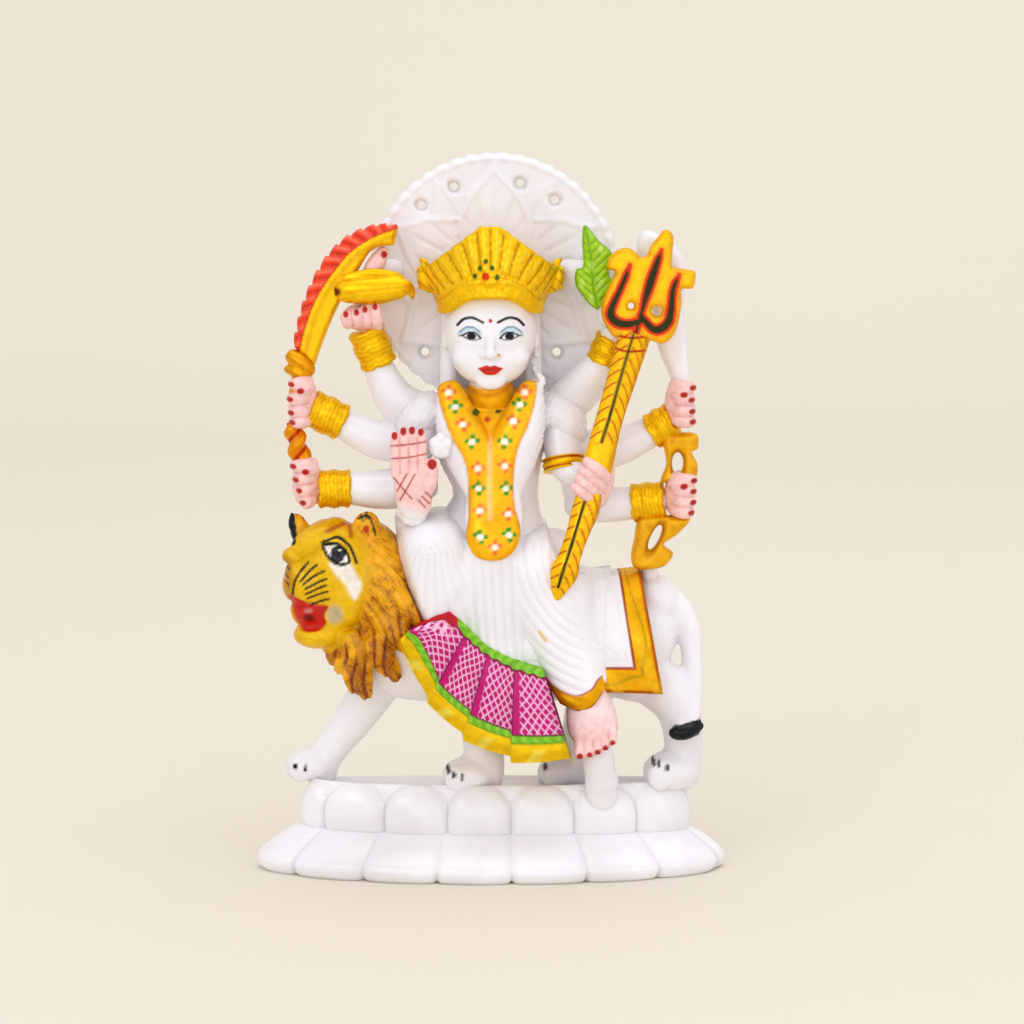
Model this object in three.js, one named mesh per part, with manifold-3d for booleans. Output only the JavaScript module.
// A small painted marble figure of Durga on her lion, carved from one block together with its two-tier plinth.
// Sizes are in millimetres. +X is the viewer's right, -Y faces the viewer, +Z is up, and the origin is the middle
// of the underside. The plinth has sizes of its own. The figure stands on it and keeps its pose and its carving as
// shares of its own height: its stations are in two-hundredths of FIGURE_HEIGHT, counted up from the plinth's top.
import * as THREE from "three";
import { mergeVertices } from "three/addons/utils/BufferGeometryUtils.js";
import Module from "manifold-3d";

const wasm = await Module();
wasm.setup();

const FIGURE_HEIGHT = 200; // from the top of the plinth to the top of the halo
const PLINTH_LENGTH = 149;
const PLINTH_DEPTH = 56;
const LOWER_TIER_HEIGHT = 14;
const UPPER_TIER_HEIGHT = 12;
const UPPER_TIER_INSET = 12; // how far the upper tier steps in from each end
const UPPER_TIER_SETBACK = 11; // how far it steps in at front and back
const UPPER_TIER_SHIFT = 2; // the upper tier sits a little to the viewer's right
const LOWER_TIER_LOBES = 14;
const UPPER_TIER_LOBES = 13;
const LOBE_GROOVE = 2.6;
const RIM_RISE = 2.2; // how far the lobes of the upper tier stand above the floor between them
const SUNK = 1.5; // how far the feet run into the plinth, so that all is one stone

const PLINTH_HEIGHT = LOWER_TIER_HEIGHT + UPPER_TIER_HEIGHT;
const UNIT = FIGURE_HEIGHT / 200;
const MERGE_WITHIN = 1e-4;
const JOIN_WITHIN = 0.1; // facets finer than this melt into their neighbours where forms join

/** The closed solid of a geometry. */
function solidOf(geometry) {
  const bare = geometry.clone();
  bare.deleteAttribute("normal");
  bare.deleteAttribute("uv");
  const merged = mergeVertices(bare, MERGE_WITHIN);
  return new wasm.Manifold(
    new wasm.Mesh({
      numProp: 3,
      tolerance: JOIN_WITHIN,
      vertProperties: merged.attributes.position.array,
      triVerts: new Uint32Array(merged.index.array),
    }),
  );
}

/** A solid of the figure: its stations become millimetres and stand on the plinth. */
const carved = (geometry) => solidOf(geometry.scale(UNIT, UNIT, UNIT).translate(0, 0, PLINTH_HEIGHT));

const joined = (solids) => solids.reduce((whole, next) => whole.add(next));

/** The outer shell of a solid: pockets closed in between joined forms are stone as well. */
const filled = (solid) => solid.decompose().reduce((most, next) => (next.volume() > most.volume() ? next : most));

/** Moves every corner of a geometry to where place(corner) puts it. */
function shaped(geometry, place) {
  const position = geometry.attributes.position;
  const corner = new THREE.Vector3();
  for (let i = 0; i < position.count; i++) {
    corner.fromBufferAttribute(position, i);
    const to = place(corner);
    position.setXYZ(i, to.x, to.y, to.z);
  }
  return geometry;
}

const FORWARD = new THREE.Vector3(0, 1, 0);

/** A round form along stations [x, y, z, half width, half depth]: a cylinder bent along a curve through them. */
function limb(stations, { sides = 6, rows = 3, blunt = false } = {}) {
  const path = new THREE.CatmullRomCurve3(stations.map(([x, y, z]) => new THREE.Vector3(x, y, z)));
  const girth = new THREE.CatmullRomCurve3(stations.map(([, , , w, d = w]) => new THREE.Vector3(w, d, 0)));
  return carved(
    shaped(new THREE.CylinderGeometry(1, 1, 1, sides, rows), (corner) => {
      const v = corner.y + 0.5;
      const t = blunt ? v : 0.5 - 0.5 * Math.cos(Math.PI * v);
      const swell = blunt ? 1 : Math.max(0.3, Math.sin(Math.PI * v) ** 0.4);
      const along = path.getTangent(t);
      const deep = FORWARD.clone().addScaledVector(along, -along.y).normalize();
      const side = along.clone().cross(deep);
      const { x: width, y: depth } = girth.getPoint(t);
      return path
        .getPoint(t)
        .addScaledVector(side, corner.x * width * swell)
        .addScaledVector(deep, corner.z * depth * swell);
    }),
  );
}

/** An egg of half sizes [x, y, z], turned about Y (in the picture) and Z (in plan) by degrees. */
function egg(centre, half, { lean = 0, turn = 0, around = 7, up = 4 } = {}) {
  const geometry = new THREE.SphereGeometry(1, around, up).rotateX(Math.PI / 2).scale(...half);
  geometry.rotateY(THREE.MathUtils.degToRad(lean)).rotateZ(THREE.MathUtils.degToRad(turn));
  return carved(geometry.translate(...centre));
}

/** A closed smooth outline through [x, z] points, as a shape. */
function outline(points, corners) {
  const curve = new THREE.CatmullRomCurve3(points.map(([x, z]) => new THREE.Vector3(x, z, 0)), true);
  return new THREE.Shape(curve.getPoints(corners).slice(0, corners).map((p) => new THREE.Vector2(p.x, p.y)));
}

/** A round or oval hole [x, z, half width, half height, lean in degrees] through a shape. */
function pierce(shape, [x, z, halfWidth, halfHeight = halfWidth, lean = 0], corners = 7) {
  const hole = new THREE.EllipseCurve(x, z, halfWidth, halfHeight, 0, 2 * Math.PI, false, THREE.MathUtils.degToRad(lean));
  shape.holes.push(new THREE.Path(hole.getPoints(corners).slice(0, corners)));
}

/** A slab: a shape in the picture plane, from front to back. */
function slab(shape, front, back) {
  const geometry = new THREE.ExtrudeGeometry(shape, { depth: back - front, bevelEnabled: false, curveSegments: 6 });
  return carved(geometry.rotateX(Math.PI / 2).translate(0, back, 0));
}

/** A cloth: front(u, v) is a point of its face, u from left to right and v from top to bottom. */
function cloth(front, across, down, thick) {
  return carved(
    shaped(new THREE.BoxGeometry(1, 1, 1, across, 1, down), ({ x, y, z }) =>
      front(x + 0.5, 0.5 - z).add(new THREE.Vector3(0, (y + 0.5) * thick, 0)),
    ),
  );
}

/** A point a share of the way along a row of [x, y, z] points. */
function along(points, share) {
  const place = Math.min(share, 0.9999) * (points.length - 1);
  const i = Math.floor(place);
  const [from, to] = [points[i], points[i + 1]].map((p) => new THREE.Vector3(...p));
  return from.lerp(to, place - i);
}

// The plinth: two tiers of plump lobes with grooves between them, the upper one stepped in from the lower.

/** One tier: a drum whose rim swells into lobes. levels holds [height, step in from the rim, share of the groove]. */
function tier({ centre, halfLength, halfDepth, lobes, firstGroove, levels, rise = 0 }) {
  const cornersPerLobe = 4;
  const rows = levels.length - 1;
  const rim = new THREE.EllipseCurve(0, 0, halfLength, halfDepth);
  const drum = new THREE.CylinderGeometry(1, 1, 1, lobes * cornersPerLobe, rows).rotateX(Math.PI / 2);
  return shaped(drum, (corner) => {
    const row = Math.round((corner.z + 0.5) * rows);
    const [height, inset, groove] = levels[row];
    if (Math.hypot(corner.x, corner.y) < 0.5) return new THREE.Vector3(centre, 0, height);
    const turn = Math.round((Math.atan2(corner.y, corner.x) / (2 * Math.PI)) * lobes * cornersPerLobe);
    const step = THREE.MathUtils.euclideanModulo(turn, lobes * cornersPerLobe);
    const round = (step / cornersPerLobe + firstGroove) / lobes;
    const place = rim.getPointAt(round % 1);
    const notch = [1, 0.12, 0, 0.12][step % cornersPerLobe];
    const spine = 0.8 * (1 - (halfDepth / halfLength) ** 2) * place.x; // the lobes face away from the tier's long axis
    const outward = new THREE.Vector2(place.x - spine, place.y).normalize();
    place.addScaledVector(outward, -inset - LOBE_GROOVE * groove * notch);
    const lifted = row === rows - 1 ? rise * (1 - notch) * Math.min(1, 1 - place.y / halfDepth) : 0;
    return new THREE.Vector3(centre + place.x, place.y, height + lifted);
  });
}

function plinth() {
  const lower = tier({
    centre: 0,
    halfLength: PLINTH_LENGTH / 2,
    halfDepth: PLINTH_DEPTH / 2,
    lobes: LOWER_TIER_LOBES,
    firstGroove: 0.78,
    levels: [
      [0, 1.5, 1],
      [0.22 * LOWER_TIER_HEIGHT, 0, 1.2],
      [0.4 * LOWER_TIER_HEIGHT, 1, 1.2],
      [0.78 * LOWER_TIER_HEIGHT, 6.5, 0.8],
      [LOWER_TIER_HEIGHT, 13, 0],
    ],
  });
  const upper = tier({
    centre: UPPER_TIER_SHIFT,
    halfLength: PLINTH_LENGTH / 2 - UPPER_TIER_INSET,
    halfDepth: PLINTH_DEPTH / 2 - UPPER_TIER_SETBACK,
    lobes: UPPER_TIER_LOBES,
    firstGroove: 0.96,
    levels: [
      [LOWER_TIER_HEIGHT - 3, 1, 1],
      [LOWER_TIER_HEIGHT + 0.3 * UPPER_TIER_HEIGHT, 0, 1.3],
      [LOWER_TIER_HEIGHT + 0.72 * UPPER_TIER_HEIGHT, 0.8, 1.5],
      [PLINTH_HEIGHT, 4, 0.7],
      [PLINTH_HEIGHT, 7.5, 0],
    ],
    rise: RIM_RISE,
  });
  return solidOf(lower).add(solidOf(upper));
}

// The lion: it walks to the viewer's left and turns its head to the viewer.

function lionBody() {
  const barrel = [
    [-40, 0, 46, 12, 12],
    [-32, 1, 45, 18, 15],
    [-12, 2, 44, 18, 15],
    [14, 2, 45, 18, 15],
    [36, 2, 47, 20, 16],
    [46, 2, 50, 17, 15],
    [54, 3, 58, 10, 11],
  ];
  const farForeleg = [[-32, 4, 38, 10, 9], [-43, 5, 21, 6.5, 6], [-52, 5, 9, 5.5, 5.5], [-54, 5, -SUNK, 5.5, 5.5]];
  const nearForeleg = [[-3, -4, 36, 9, 8], [-3, -4, 18, 6.5, 6], [-2, -4, 8, 6.5, 6], [-2, -4, -SUNK, 7, 6]];
  const farHindLeg = [[34, 8, 38, 10, 8], [29, 7, 18, 6.5, 6], [28, 6, 8, 5.5, 5.5], [27, 6, -SUNK, 6, 5]];
  const nearHindLeg = [[42, 0, 38, 10, 11], [54, -1, 31.5, 8.4, 8.6], [60, -1, 21, 6.8, 7.2], [61, -1, -SUNK, 7, 6]];
  const paws = [
    egg([-57, 4, 6], [8, 6.5, 5.5]),
    egg([-7, -6, 4.5], [8.5, 6.5, 6]),
    egg([22, 5, 3.5], [7.5, 6, 5]),
    egg([57, -3, 5.5], [9, 7, 6.5]),
  ];
  const stifle = egg([45, 0, 36], [10, 11, 9]); // the skin that joins belly and thigh
  const tail = [[46, 4, 61, 7.5], [56, 4, 58.4, 5.4], [62, 3, 50, 4.1], [63.2, 1, 41, 3.3], [63.4, -2, 30, 3.6], [63, -8, 20, 3]];
  const tailTuft = [[66.8, -6, 20.8, 1.6], [62, -9, 19.2, 2.5], [58, -10, 18.8, 2.5], [55.2, -9.5, 18.8, 1.2]];
  return [
    limb(barrel, { sides: 11, rows: 6 }),
    ...[farForeleg, nearForeleg, farHindLeg, nearHindLeg].map((leg) => limb(leg, { sides: 7 })),
    ...paws,
    stifle,
    limb(tail, { sides: 5, rows: 5 }),
    limb(tailTuft, { sides: 5 }),
  ];
}

/** Mane locks: tapering strands that fan out from the cheek, each [root, tip, girth]. */
function maneLocks() {
  const locks = [
    [[-44, -12, 52], [-38, -11, 27], 4.6],
    [[-50, -9, 50], [-45, -8, 33], 4],
    [[-38, -13, 50], [-28, -14, 34.5], 4.6],
    [[-36, -13, 66], [-24, -12, 48], 5],
    [[-40, 6, 54], [-36, 9, 30], 5],
    [[-36, 9, 66], [-27, 12, 46], 5],
    [[-46, 2, 52], [-44, 3, 32], 5],
  ];
  return locks.map(([root, tip, girth]) => {
    const middle = root.map((value, i) => (value + tip[i]) / 2);
    return limb([[...root, girth], [...middle, girth * 0.9], [...tip, 1]], { sides: 4 });
  });
}

function lionHead() {
  const ruff = [[-42, -2, 84, 8, 9], [-38, -2, 72, 14, 13], [-37, -1, 58, 15, 14], [-37, -1, 44, 12, 12]];
  return [
    limb(ruff, { sides: 9, rows: 4 }),
    ...maneLocks(),
    egg([-49, -6, 71], [13, 12, 15.5], { around: 10, up: 6 }),
    egg([-56.5, -9.5, 64], [7.5, 8, 10.5]),
    egg([-61, -11, 74], [3.6, 4, 3], { around: 6, up: 4 }),
    egg([-54, -9, 50.5], [7.5, 7, 5]),
    egg([-50, -8, 57], [7, 8, 9]),
    egg([-38.6, -9, 84], [4.2, 2.4, 4.8], { around: 6, up: 4 }),
    egg([-60, -4, 84], [2.8, 2.4, 5], { around: 6, up: 4 }),
  ];
}

// The goddess: torso, head and crown.

function torso() {
  const trunk = [
    [0, 0, 62, 20, 16],
    [0, 0, 78, 20, 15],
    [1.5, 0, 93, 13.5, 11],
    [0, 0, 109, 18, 12.5],
    [0, 1, 120, 19, 10.5],
    [0, 0, 127, 9, 8],
  ];
  const collar = [[-14, -9, 126, 4.5, 4], [-9, -12, 112, 7, 3.5], [1, -13.5, 92, 7.5, 3], [1, -19, 71, 7, 3]];
  const neck = [[0, -3, 120, 7, 7], [0, -4, 132, 6.5, 6.5]];
  return [
    limb(trunk, { sides: 10, rows: 7 }),
    limb([[-22, 2, 62, 9, 10], [10, 2, 62, 10, 13], [44, 2, 60, 9, 10]], { rows: 3 }),
    limb(neck, { rows: 2 }),
    limb(collar, { sides: 6, rows: 4 }),
    limb(collar.map(([x, ...rest]) => [x < 0 ? -x : x, ...rest]), { sides: 6, rows: 4 }),
  ];
}

function head() {
  const browHeight = 151;
  const [peakHeight, rimHeight, rimSlope] = [177, 163.5, 0.66]; // the rim falls straight from the peak to the ears
  const crown = shaped(new THREE.CylinderGeometry(1, 1, 1, 18, 2).rotateX(Math.PI / 2), (corner) => {
    const v = corner.z + 0.5;
    const reach = Math.hypot(corner.x, corner.y);
    const angle = reach < 0.5 ? 0 : Math.atan2(corner.x, -corner.y);
    const flare = 1 + 0.24 * v;
    const across = reach < 0.5 ? 0 : Math.sin(angle) * 16.8 * flare;
    const rim = reach >= 0.5 && Math.cos(angle) > 0 ? peakHeight - rimSlope * Math.abs(across) : rimHeight;
    const hairline = angle > -1.2 && angle < 1.2 ? 3.2 * Math.cos(angle * 1.3) : 0;
    return new THREE.Vector3(
      across,
      (reach < 0.5 ? 0 : -Math.cos(angle) * 14.2 * (1 + 0.08 * v)) - 4,
      browHeight + (1 - v) * Math.max(0, hairline) + v * (rim - browHeight),
    );
  });
  return [
    egg([0, -5, 143.5], [14.7, 14, 16.5], { around: 10, up: 7 }),
    egg([0, -9.5, 135], [9.5, 8.5, 7.4]),
    egg([0, -19.6, 142.5], [1.6, 2, 3.6], { around: 5, up: 4 }),
    carved(crown),
    ...[-1, 1].map((side) => egg([20 * side, -5, 160], [2.6, 3, 4.4], { around: 6, up: 4 })),
    ...[-1, 1].map((side) => limb([[13 * side, 0, 150, 3.4], [14 * side, -1, 138, 3], [14 * side, -2, 126, 3.4]])),
  ];
}

// The halo: a round plate with a scalloped rim, pointed petals in relief and small holes.

function halo() {
  const centre = [1.2, 159.6];
  const radius = 39.4;
  const front = 8.5;
  const back = 14;
  const scallops = 32;
  const rim = new THREE.Shape();
  for (let i = 0; i < scallops; i++) {
    for (const [step, reach] of [[0, radius - 1.2], [0.5, radius + 0.2]]) {
      const angle = ((i + step) / scallops) * 2 * Math.PI;
      const [x, z] = [centre[0] + reach * Math.cos(angle), centre[1] + reach * Math.sin(angle)];
      if (i + step === 0) rim.moveTo(x, z);
      else rim.lineTo(x, z);
    }
  }
  const holeRing = radius * 0.79;
  for (const degrees of [52.5, 75, 114, 135, 226.5, 310]) {
    const angle = THREE.MathUtils.degToRad(degrees);
    pierce(rim, [centre[0] + holeRing * Math.cos(angle), centre[1] + holeRing * Math.sin(angle), 1.3], 5);
  }
  const petals = [-32, 28, 90, 152, 212].map((degrees) => {
    const petal = new THREE.Shape();
    petal.moveTo(4, -4);
    petal.quadraticCurveTo(26, -20, 35.5, 0);
    petal.quadraticCurveTo(26, 20, 4, 4);
    const geometry = new THREE.ExtrudeGeometry(petal, { depth: 1.2, bevelEnabled: false, curveSegments: 4 });
    geometry.rotateZ(THREE.MathUtils.degToRad(degrees)).translate(centre[0], centre[1], 0);
    return carved(geometry.rotateX(Math.PI / 2).translate(0, front + 0.6, 0));
  });
  return [slab(rim, front, back), ...petals];
}

// The arms: eight of them, most ending in a gilt bracelet and a fist.

/** A gilt cuff round an arm, from one end to the other. */
const cuff = (from, to, girth) => limb([[...from, girth], [...to, girth]], { sides: 7, rows: 1, blunt: true });

/**
 * A fist round an upright handle: four knuckles one below the other, with grooves between them.
 * facing is -1 where the knuckles point to the viewer's left and 1 where they point to the right.
 */
function fist([x, y, z], facing, height, lean = 0) {
  const rows = 8; // a groove and a knuckle for each finger
  const knuckles = shaped(new THREE.CylinderGeometry(1, 1, 1, 7, rows).rotateX(Math.PI / 2), (corner) => {
    const row = Math.round((corner.z + 0.5) * rows);
    const outward = corner.x * facing > -0.3 && corner.y < 0.3;
    const ends = row === 0 || row === rows ? 0.72 : 0.95;
    const swell = row % 2 && outward ? 1.12 : ends;
    const up = corner.z * height;
    return new THREE.Vector3(x + corner.x * 5.4 * swell - up * lean, y + corner.y * 5.2 * swell, z + up);
  });
  return carved(knuckles);
}

function leftArms() {
  const raised = [[-19, 3, 117, 8, 7], [-29, 1, 122, 6.6], [-35, 0, 133, 4.9], [-39, -1, 146, 4.4]];
  const middle = [[-19, 3, 109, 7.5], [-34, 1, 109.5, 6.3], [-47, 0, 115.5, 4.8], [-57, -1, 121, 4.2]];
  const low = [[-17, 3, 97, 7.5], [-32, 0, 94.5, 6.6], [-45, -3, 95, 5], [-55, -4.5, 95.5, 4.6]];
  const sleeve = [[-14, 1, 119, 8, 8], [-22, -1, 117, 7.4, 8], [-25, -3, 110, 6, 7]];
  const upperArm = [[-20, -3, 115, 6.5], [-23.5, -5, 104, 5], [-24.5, -8, 95, 5], [-24, -12.5, 88.5, 5], [-24, -15, 93, 4.6]];
  return [
    ...[raised, middle, low].map((arm) => limb(arm, { sides: 7, rows: 4 })),
    limb(sleeve),
    limb(upperArm),
    cuff([-38.5, -1, 144], [-34.8, 0, 133.5], 5.8),
    cuff([-55.5, -1, 120], [-46.5, 0, 115.3], 5.9),
    cuff([-53.5, -4, 95], [-44, -3, 95], 5.9),
    egg([-40.5, -2, 149], [5.6, 4.6, 4.4], { lean: 15, around: 8, up: 5 }),
    ...[-45.2, -41.6, -38.6, -35.6].map((x, i) =>
      limb([[x, -4, 147 + i * 0.5, 2], [x + 0.3, -5, 154.6, 1.7]], { sides: 5, rows: 2 }),
    ),
    fist([-60.5, -3, 122.5], -1, 13.6, -0.1),
    fist([-57.8, -5.5, 95.5], -1, 14.6, 0.2),
  ];
}

/** The open palm held up to bless: four straight fingers side by side, and the thumb. */
function blessingHand() {
  const fingerTips = [115.5, 117, 117.2, 116.4];
  return [
    limb([[-23.5, -14, 86, 5.6, 4], [-24, -16, 94, 6.6, 3.2], [-25, -17, 105, 6.2, 2.6]], { sides: 8, rows: 4 }),
    ...fingerTips.map((tip, i) =>
      limb([[-29.2 + i * 2.75, -17, 100, 1.9], [-29.2 + i * 2.75, -17.2, tip, 1.6]], { sides: 5, rows: 3 }),
    ),
    limb([[-21, -16, 95, 2.8], [-18, -17, 101, 2.2], [-17.6, -17, 107, 1.7]], { sides: 5, rows: 3 }),
  ];
}

function rightArms() {
  const raised = [[18, 3, 116, 9, 8], [30, 1, 128, 6.8], [36.5, -2, 138, 4.8], [38.5, -3, 148, 4.4]];
  const middle = [[19, 3, 107, 7.5], [36, 1, 107, 6.6], [50, 0, 112.5, 5], [58, -1.5, 117.5, 4.6]];
  const low = [[23.5, 3, 91, 7.2], [34, 1, 89.5, 6], [45, 0, 90, 5.2], [55, -1.5, 91, 5]];
  const sleeve = [[14, 1, 119, 8, 8], [22, -1, 117, 7.6, 8], [25, -3, 108, 6.4, 7]];
  const upperArm = [[21.5, -1, 118, 7.5], [22.5, -5, 107, 6], [24.5, -9.5, 101.5, 4.8], [31, -13, 99, 4.4]];
  const elbowToLowArm = [[25, -9, 100, 4.4], [26.5, -3, 95.5, 4.4], [27, 2, 92, 5]];
  return [
    ...[raised, middle, low].map((arm) => limb(arm, { sides: 7, rows: 4 })),
    limb(sleeve),
    limb(upperArm, { rows: 4 }),
    limb(elbowToLowArm, { rows: 2 }),
    cuff([35, -1.5, 134.5], [38, -2.5, 142], 5.6),
    cuff([48, 0, 111.5], [56.5, -1, 116.3], 6),
    cuff([44.5, 0, 90], [54, -1, 91], 6),
    cuff([22.4, -6.6, 105.5], [23, -8, 101], 6.6),
    fist([60, -3, 119.5], 1, 14.8),
    fist([59.5, -3, 91.5], 1, 13.4),
    ...grippingHand(),
  ];
}

/** The hand closed round the trident's shaft, its four fingers slanting across it. */
function grippingHand() {
  const fingers = [0, 1, 2, 3].map((i) =>
    limb(
      [
        [37.4 - i * 1.2, -17, 98.6 - i * 2.6, 2],
        [33 - i * 1.2, -21, 102.6 - i * 2.6, 2.1],
        [29.2 - i * 1.2, -19.5, 105.4 - i * 2.6, 1.8],
      ],
      { sides: 5, rows: 3 },
    ),
  );
  return [limb([[33, -12, 90, 3.8, 4.6], [34.2, -14.5, 98, 4.6, 5], [33.4, -16, 105, 3.4, 3.8]]), ...fingers];
}

// What the hands hold.

/** The sword: a broad curved blade with a flame-toothed back edge, and its guard. */
function sword() {
  const teeth = 8;
  const edge = new THREE.CatmullRomCurve3(
    [[-61, 139], [-58, 152.5], [-52, 165.5], [-43, 174.2], [-28.6, 177]].map(([x, z]) => new THREE.Vector3(x, z, 0)),
  );
  const inner = new THREE.CatmullRomCurve3(
    [[-29.8, 170.8], [-38.6, 168], [-45.5, 155], [-50.5, 144], [-54.6, 133.5]].map(([x, z]) => new THREE.Vector3(x, z, 0)),
  );
  const toothed = Array.from({ length: teeth * 2 + 1 }, (_, i) => {
    const t = i / (teeth * 2);
    const tangent = edge.getTangent(t);
    const out = i % 2 ? 0.6 : -0.3;
    return edge.getPoint(t).add(new THREE.Vector3(-tangent.y, tangent.x, 0).multiplyScalar(out));
  });
  const shape = new THREE.Shape([...toothed, ...inner.getPoints(8)].map((p) => new THREE.Vector2(p.x, p.y)));
  return [
    slab(shape, -4, 1.5),
    limb([[-63, -2, 136.5, 2.6, 3.6], [-59, -2, 133.5, 3.8, 4], [-56, -2, 129.5, 3, 3.6]], { sides: 7, rows: 4 }),
    limb([[-57.4, -1.5, 141, 2.6], [-58.6, -2.5, 131, 3], [-60, -3, 116, 2.8]], { sides: 6, rows: 3 }),
    limb([[-61.5, -4, 113, 3.8, 3.6], [-59.5, -4.5, 107.5, 3.6, 3.4], [-57.5, -5, 100, 3, 3]], { sides: 7, rows: 4 }),
  ];
}

function heldUpLeft() {
  return [
    limb([[-48, -4, 156, 4, 3.4], [-40, -5, 157.5, 4.6, 4.4], [-32, -5, 157.2, 4.4, 4], [-26.5, -4, 157.4, 3.4, 3]]),
    limb([[-28, -4, 159.6, 1.8], [-24.8, -3.5, 157, 1.2], [-23.8, -3, 153.6, 0.7]], { sides: 5, rows: 3 }),
    limb([[-38, -1, 158, 3], [-34.5, 1, 168, 2.6]], { sides: 6, rows: 3 }),
    limb([[-34, 5, 164, 4.6, 4], [-24, 9, 164, 4, 3]], { sides: 6, rows: 3 }),
  ];
}

/** The trident: a thick plate whose outline joins its three prongs, on a flat shaft. */
function trident() {
  const plate = [
    [35.5, 146.5], [33.6, 151], [36, 157.5], [38.5, 162], [36.5, 164.5], [38, 169], [42.5, 170.8],
    [46.5, 168.4], [49.5, 172.5], [53.5, 176], [56.4, 174], [56.2, 165.5], [62.5, 162.5], [61.8, 157.6],
    [59, 157.4], [58.8, 150.5], [56.4, 142.8], [52.5, 140.2], [47, 142.2], [38.5, 143],
  ];
  const shape = outline(plate, 32);
  pierce(shape, [43, 153.4, 1], 6);
  pierce(shape, [51.2, 151.8, 1.5], 6);
  return [
    slab(shape, -16.5, -11.5),
    limb([[45, -14, 147, 5, 2.6], [36.5, -16, 118, 4.8, 2.6], [32.4, -18, 102, 4.4, 2.6]], { sides: 8, rows: 3, blunt: true }),
    limb([[31.5, -19, 100, 3.8, 2.8], [27, -20.5, 84, 3.6, 2.6], [22, -21.5, 71, 3.8, 2.4], [20, -20, 64, 2.6, 2]]),
  ];
}

function heldUpRight() {
  const leaf = outline(
    [[29.6, 177], [38, 168.6], [36.5, 162], [38, 157.5], [33.6, 151.5], [28.6, 157], [26.8, 162], [29, 168]], 18);
  const blade = outline(
    [[57.4, 121], [55.6, 130], [51.8, 139.5], [50, 152], [46.6, 164], [45.2, 171], [48.4, 175.4], [56, 171.6],
      [60.2, 165], [60, 152], [60.8, 142], [61.8, 130], [62.4, 121]], 22);
  return [
    slab(leaf, -9, -4),
    limb([[20, 4, 162, 4.4, 4], [33, -4, 161.5, 4.2, 3.6]], { rows: 3 }),
    limb([[38, -5, 146, 4.6], [36, -6, 156, 4.2]], { rows: 3 }),
    slab(blade, -3.5, 2.5),
  ];
}

/** The openwork bow between the two lower right hands: two gilt plates, each with an oval eye. */
function bow() {
  const upper = outline([[54, 111.5], [64, 112.5], [64.6, 107.6], [63, 106], [64.8, 102.6], [63, 97.6], [53.6, 96.6], [54.6, 103]], 18);
  pierce(upper, [58.4, 103.5, 1.7, 3.3]);
  const lower = outline(
    [[47, 86.4], [61.5, 86], [57.5, 80.6], [54, 77.4], [57, 75.2], [55.4, 72], [51.5, 70.2], [46, 70], [44, 73.6], [45, 80.6]], 20);
  pierce(lower, [51.4, 80.3, 1.3, 4.2, -25]);
  return [slab(upper, -5.5, 0.5), slab(lower, -5.5, 1), limb([[49, -2, 74, 4], [50, -1, 64, 5]], { rows: 3 })];
}

// The dress and the foot below it.

/** How far forward a leg under the cloth stands at a place: from its hip end to its foot end, [x, y, z, girth]. */
function legFront([from, to], x, z) {
  const [dx, dz] = [to[0] - from[0], to[2] - from[2]];
  const share = THREE.MathUtils.clamp(((x - from[0]) * dx + (z - from[2]) * dz) / (dx * dx + dz * dz), 0, 1);
  const [middleX, middleY, middleZ, girth] = from.map((value, i) => THREE.MathUtils.lerp(value, to[i], share));
  const away = Math.hypot(x - middleX, z - middleZ);
  return away < girth ? middleY - Math.sqrt(girth * girth - away * away) : middleY + 0.9 * (away - girth);
}

/** The skirt: one cloth over the folded left knee, the lap and the right leg, creased into long folds. */
function skirt() {
  const legs = [
    [[-18, -9, 76, 12], [-14, -9, 50, 11]],
    [[0, -4, 72, 15], [2, -9, 40, 12]],
    [[16, -6, 68, 15], [28, -14, 34, 9.5]],
  ];
  const top = [[-27.5, 0, 85], [-17, 0, 88], [-6, 0, 88], [6, 0, 88], [17, 0, 84], [23, 0, 72], [37, 0, 69]];
  const hem = [[-21, 0, 46], [-10, 0, 44], [5, 0, 38], [14, 0, 34], [21, 0, 30.2], [27.5, 0, 27.9], [36, 0, 33]];
  const folds = 9;
  return cloth(
    (u, v) => {
      const place = along(top, u).lerp(along(hem, u), v);
      const crease = Math.round(u * folds * 2) % 2 ? 1.1 : 0;
      const rounded = v === 0 ? 4 : 0; // the lap's upper edge turns back into the body
      place.y = Math.min(...legs.map((leg) => legFront(leg, place.x, place.z))) + crease + rounded;
      return place;
    },
    folds * 2,
    4,
    12,
  );
}

function rightFoot() {
  return [
    limb([[29, -14, 38, 6, 6], [31.5, -18, 24, 8, 5.4], [32.6, -21, 17, 7, 4]], { sides: 8 }),
    ...[27.6, 30.6, 33.1, 35.5, 37.7].map((x, i) =>
      egg([x, -23, 14.6 + i * i * 0.2 + i * 0.3], [1.9, 2.6, 2.4], { around: 5, up: 4 }),
    ),
    limb([[32, -17, 20, 6, 6], [34, -15, 8, 5, 5], [35, -11.5, -3 * SUNK, 6, 5]], { rows: 3 }),
  ];
}

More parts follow.
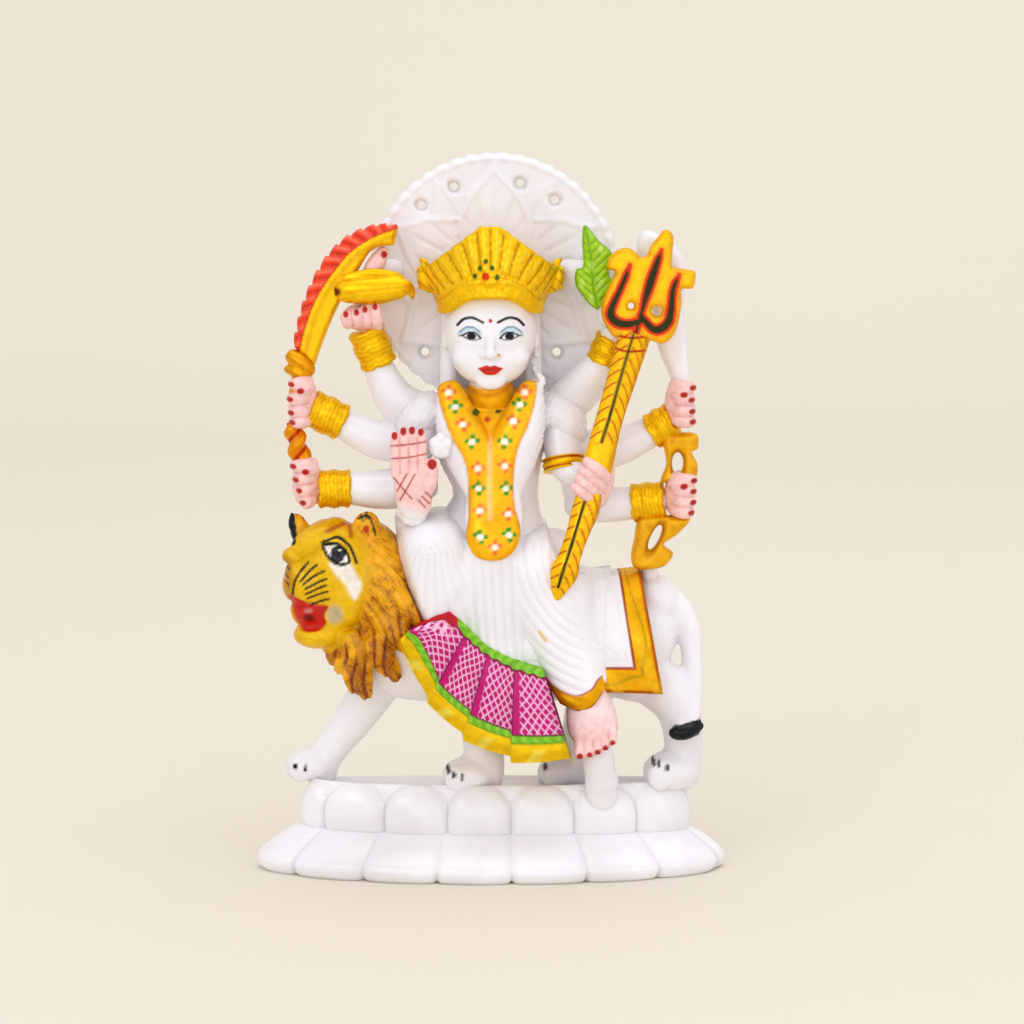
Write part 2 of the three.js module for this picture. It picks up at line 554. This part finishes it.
/** The bright apron: four knife pleats that fan out from the lap to the near foreleg, with a deep hem. */
function apron() {
  const top = [
    [-23.5, -19.5, 53.5], [-14.5, -20.6, 58.5], [-7.5, -20.6, 54.5], [-4, -20.4, 51], [-0.5, -20.2, 48],
    [3.4, -20.4, 46], [7.2, -20.8, 44], [11.7, -21, 42.3], [16.2, -21, 40.8],
  ];
  const foot = [[-28, -19, 50.4], [-20.3, -20, 30], [-8.8, -22.4, 18.5], [6, -24, 12.4], [25.2, -24.4, 12.6]];
  const pleats = 4;
  return cloth(
    (u, v) => {
      const face = along(top, u).lerp(along(foot, u), v);
      face.y -= (1 - ((u * pleats) % 1)) * 1.8 * v;
      return face;
    },
    pleats * 2,
    2,
    12,
  );
}

/** The saddle cloth that lies over the lion's back and hangs square down a flank. side is -1 for the near flank. */
function saddleCloth(side) {
  const head = [[4, 0, 66], [46.5, 0, 70]];
  const hem = [[4, 0, 34], [53.5, 0, 32.5]];
  const thick = 5;
  return cloth(
    (u, v) => {
      const face = along(head, u).lerp(along(hem, u), v);
      const flank = 2 + 17.4 * Math.sin(Math.min(1, v * 1.5) ** 0.75 * Math.PI * 0.5);
      face.y = 2 + side * flank - (side > 0 ? thick : 0);
      return face;
    },
    2,
    4,
    thick,
  );
}

const stone = new THREE.MeshStandardMaterial({ color: 0xece7e5, roughness: 0.35, metalness: 0 });

/** The finished solid as a mesh that three.js can draw. */
function meshOf(solid, name, material) {
  const { vertProperties, triVerts, numProp } = solid.getMesh();
  const corners = new Float32Array((vertProperties.length / numProp) * 3);
  for (let i = 0; i < corners.length / 3; i++) {
    corners.set(vertProperties.subarray(i * numProp, i * numProp + 3), i * 3);
  }
  const geometry = new THREE.BufferGeometry()
    .setAttribute("position", new THREE.BufferAttribute(corners, 3))
    .setIndex(new THREE.BufferAttribute(triVerts, 1));
  geometry.computeVertexNormals();
  const mesh = new THREE.Mesh(geometry, material);
  mesh.name = name;
  return mesh;
}

const figure = new THREE.Group();
figure.add(
  meshOf(
    filled(
      joined([
        plinth(),
        ...lionBody(),
        ...lionHead(),
        ...torso(),
        ...head(),
        ...halo(),
        ...leftArms(),
        ...blessingHand(),
        ...rightArms(),
        ...sword(),
        ...heldUpLeft(),
        ...trident(),
        ...heldUpRight(),
        ...bow(),
        skirt(),
        apron(),
        ...rightFoot(),
        saddleCloth(-1),
        saddleCloth(1),
      ]),
    ),
    "durga_figure",
    stone,
  ),
);

export default figure;
